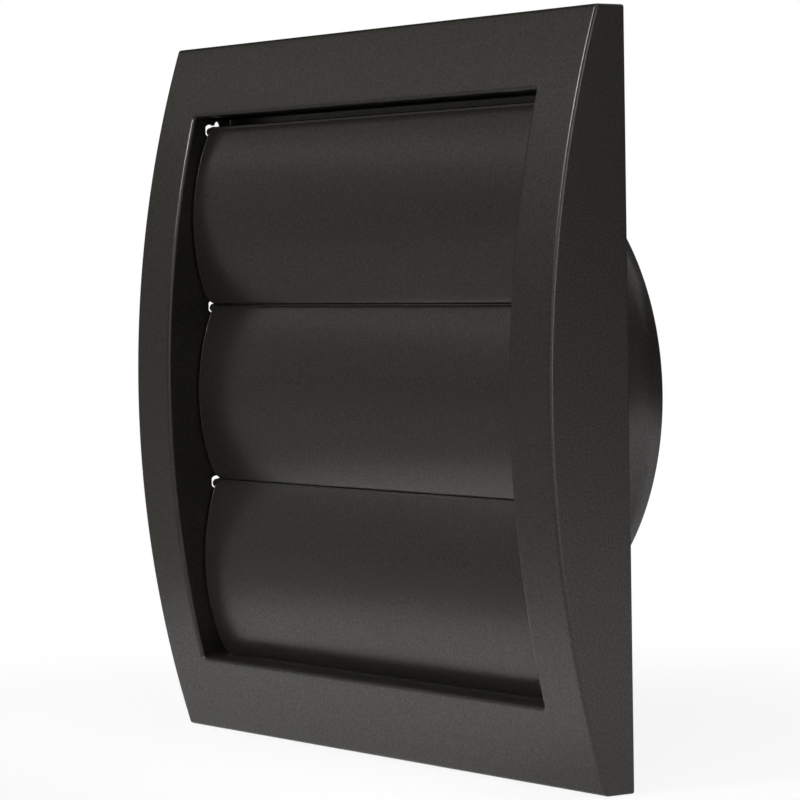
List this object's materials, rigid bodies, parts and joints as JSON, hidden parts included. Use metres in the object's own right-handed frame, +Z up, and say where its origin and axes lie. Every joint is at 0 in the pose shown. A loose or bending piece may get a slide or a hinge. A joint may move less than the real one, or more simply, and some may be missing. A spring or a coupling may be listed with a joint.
{
  "type": "exhaust hood vent",
  "caption": "Square wall cowl for an exhaust duct: bowed frame, round spigot behind and gravity flaps that swing outwards and up in the air stream.",
  "frame": {"origin": "on the axis of the duct spigot, in the plane of the wall", "axes": "+Z up, +Y into the wall along the spigot, the bowed front faces -Y"},
  "size_m": [0.18, 0.0567, 0.18],
  "materials": {
    "cowl_plastic": "fine spark-eroded satin, dark anthracite",
    "flap_plastic": "fine spark-eroded satin, dark anthracite"
  },
  "bodies": {
    "housing": {"cowl_housing": "cowl_plastic"},
    "upper_flap": {"flap_upper": "flap_plastic"},
    "middle_flap": {"flap_middle": "flap_plastic"},
    "lower_flap": {"flap_lower": "flap_plastic"}
  },
  "joints": [
    {"name": "upper_flap_swing", "type": "hinge", "parent": "housing", "child": "upper_flap", "pos_m": [0, -0.0081, 0.06765], "axis": [-1, 0, 0], "range_deg": [0, 70]},
    {"name": "middle_flap_swing", "type": "hinge", "parent": "housing", "child": "middle_flap", "pos_m": [0, -0.0081, 0.0214], "axis": [-1, 0, 0], "range_deg": [0, 70]},
    {"name": "lower_flap_swing", "type": "hinge", "parent": "housing", "child": "lower_flap", "pos_m": [0, -0.0081, -0.02485], "axis": [-1, 0, 0], "range_deg": [0, 70]}
  ]
}
